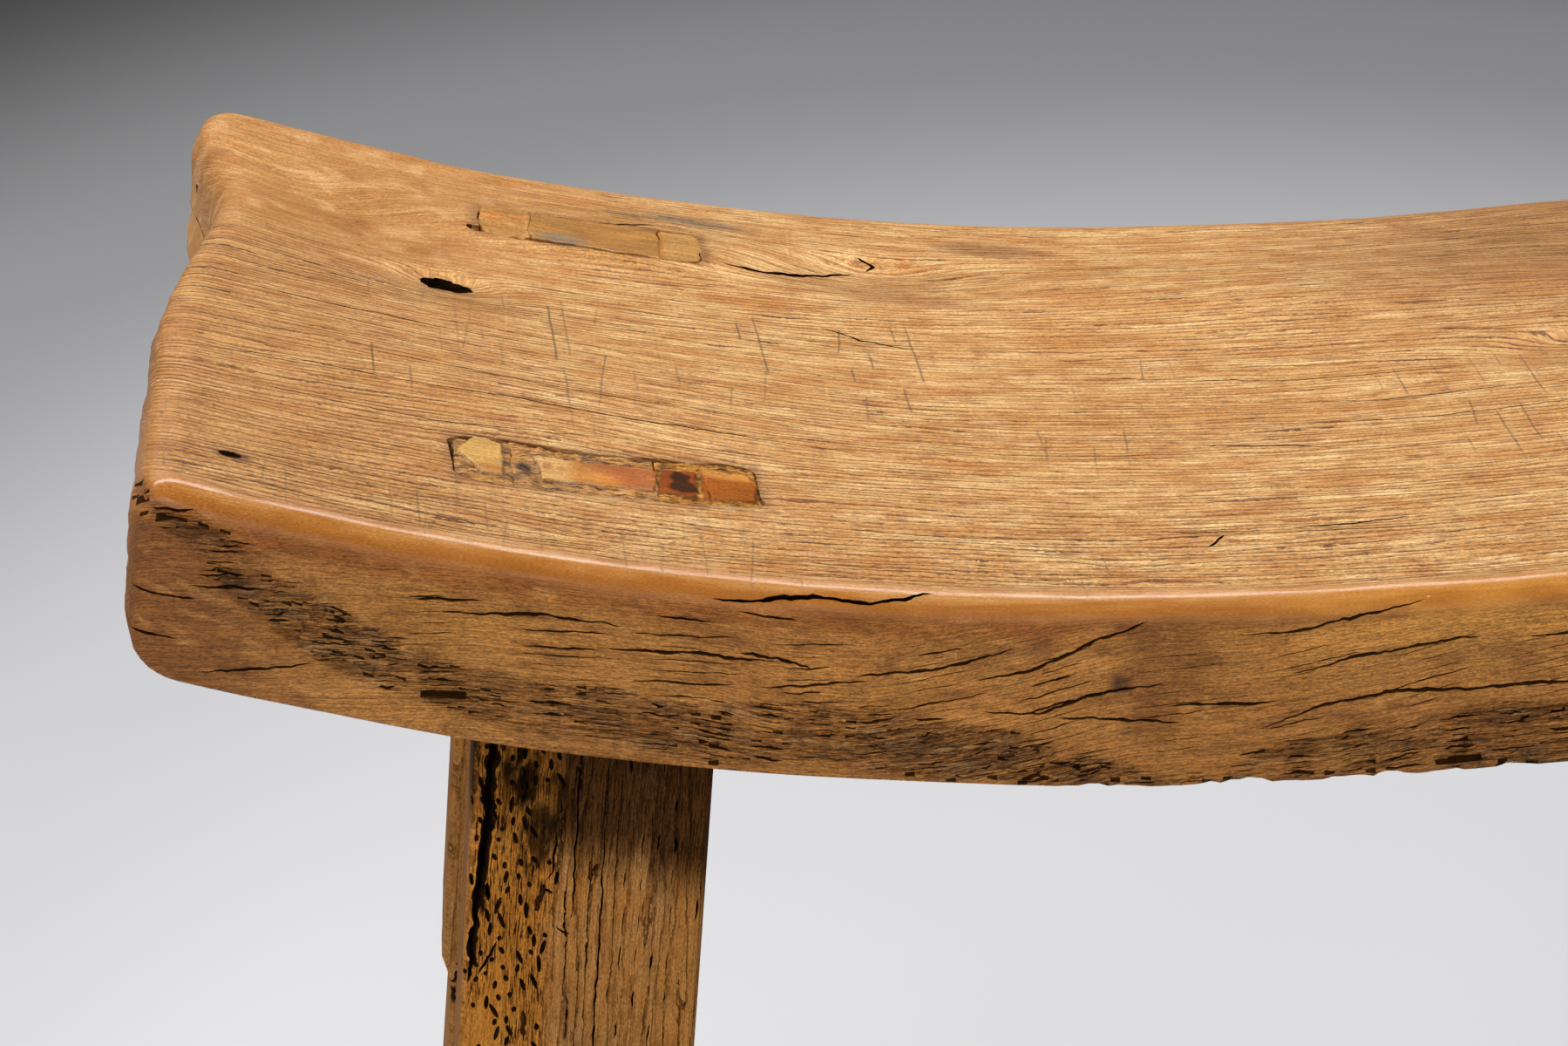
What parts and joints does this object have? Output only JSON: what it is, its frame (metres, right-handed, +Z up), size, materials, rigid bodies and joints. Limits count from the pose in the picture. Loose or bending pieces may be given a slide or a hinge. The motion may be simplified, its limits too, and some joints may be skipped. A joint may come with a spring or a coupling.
{
  "type": "stool",
  "caption": "Rustic wooden stool: a thick plank seat with a saddle dip on splayed legs, held by wedged through tenons and tied by pegged rails.",
  "frame": {"origin": "on the floor, under the middle of the seat", "axes": "+Z up; +X along the seat, the pictured end is at -X; +Y from the pictured long edge to the back"},
  "size_m": [0.5686, 0.3181, 0.5],
  "materials": {
    "seat_elm": "old elm, hand-hewn, waxed and worn",
    "leg_elm": "old elm, sawn, stained by age",
    "rail_elm": "old elm, sawn, worn",
    "pale_wedge": "pale softwood, worn flush",
    "red_wedge": "orange-brown hardwood, worn flush",
    "peg_wood": "whittled hardwood"
  },
  "bodies": {
    "root": {"seat_plank": "seat_elm", "leg_front_left": "leg_elm", "outer_wedge_front_left": "pale_wedge", "inner_wedge_front_left": "red_wedge", "leg_front_right": "leg_elm", "outer_wedge_front_right": "pale_wedge", "inner_wedge_front_right": "red_wedge", "leg_rear_left": "leg_elm", "outer_wedge_rear_left": "pale_wedge", "inner_wedge_rear_left": "red_wedge", "leg_rear_right": "leg_elm", "outer_wedge_rear_right": "pale_wedge", "inner_wedge_rear_right": "red_wedge", "seat_patch_front_left": "red_wedge", "left_side_rail": "rail_elm", "peg_front_left_left_side_rail": "peg_wood", "peg_rear_left_left_side_rail": "peg_wood", "right_side_rail": "rail_elm", "peg_front_right_right_side_rail": "peg_wood", "peg_rear_right_right_side_rail": "peg_wood", "front_rail": "rail_elm", "peg_front_left_front_rail": "peg_wood", "peg_front_right_front_rail": "peg_wood", "rear_rail": "rail_elm", "peg_rear_left_rear_rail": "peg_wood", "peg_rear_right_rear_rail": "peg_wood"}
  },
  "joints": []
}
